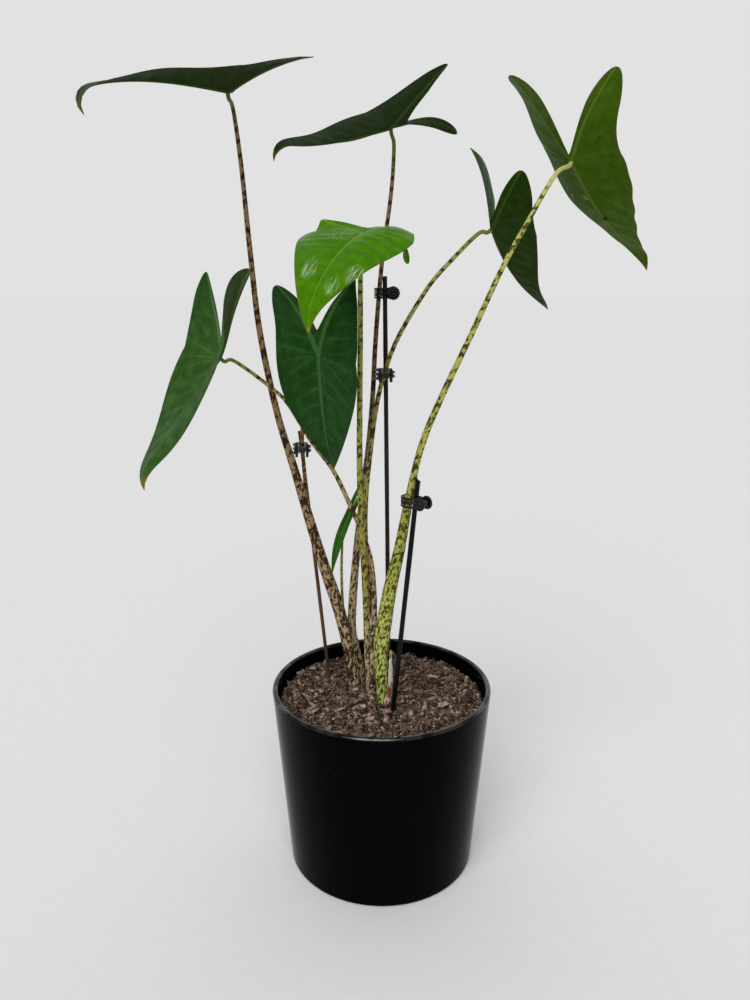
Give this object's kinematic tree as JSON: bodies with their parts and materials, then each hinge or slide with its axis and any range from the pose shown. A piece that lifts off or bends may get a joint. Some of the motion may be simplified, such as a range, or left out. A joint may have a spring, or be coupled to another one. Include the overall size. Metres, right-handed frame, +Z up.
{
  "type": "potted zebra alocasia plant",
  "caption": "Zebra alocasia with arrow-shaped leaves on banded stems, held by stakes and claw clips, in a straight-sided glossy black pot of soil.",
  "frame": {"origin": "centre of the pot's flat base, on the surface it stands on", "axes": "+Z up; -Y towards the viewer of the picture, +X to the viewer's right"},
  "size_m": [0.4205, 0.2816, 0.6636],
  "materials": {
    "pot_glaze": "glossy black glaze",
    "bark_mix": "damp bark and coir mix",
    "corm": "rough",
    "dark_leaf": "satin, waxy leaf",
    "young_leaf": "glossy young leaf",
    "new_leaf": "satin leaf",
    "brown_stem": "satin, tan with dark brown bands",
    "green_stem": "satin, yellow-green with olive bands",
    "dried_husk": "matt, papery",
    "black_plastic": "satin",
    "brown_stake": "matt"
  },
  "bodies": {
    "root": {"pot": "pot_glaze", "soil": "bark_mix", "corm": "corm", "blade_upper_left": "dark_leaf", "stem_upper_left": "brown_stem", "blade_upper_middle": "dark_leaf", "stem_upper_middle": "brown_stem", "blade_young": "young_leaf", "stem_young": "green_stem", "blade_left": "dark_leaf", "stem_left": "brown_stem", "blade_front": "dark_leaf", "stem_front": "brown_stem", "blade_right": "dark_leaf", "stem_right": "green_stem", "blade_upper_right": "dark_leaf", "stem_upper_right": "green_stem", "blade_new": "new_leaf", "stem_new": "green_stem", "dried_sheath": "dried_husk", "stake_tall": "black_plastic", "stake_front": "black_plastic", "stake_left": "brown_stake", "clip_top_front_jaw": "black_plastic", "clip_top_back_jaw": "black_plastic", "clip_top_spring": "black_plastic", "clip_middle_front_jaw": "black_plastic", "clip_middle_back_jaw": "black_plastic", "clip_middle_spring": "black_plastic", "clip_right_front_jaw": "black_plastic", "clip_right_back_jaw": "black_plastic", "clip_right_spring": "black_plastic", "clip_left_front_jaw": "black_plastic", "clip_left_back_jaw": "black_plastic", "clip_left_spring": "black_plastic"}
  },
  "joints": []
}
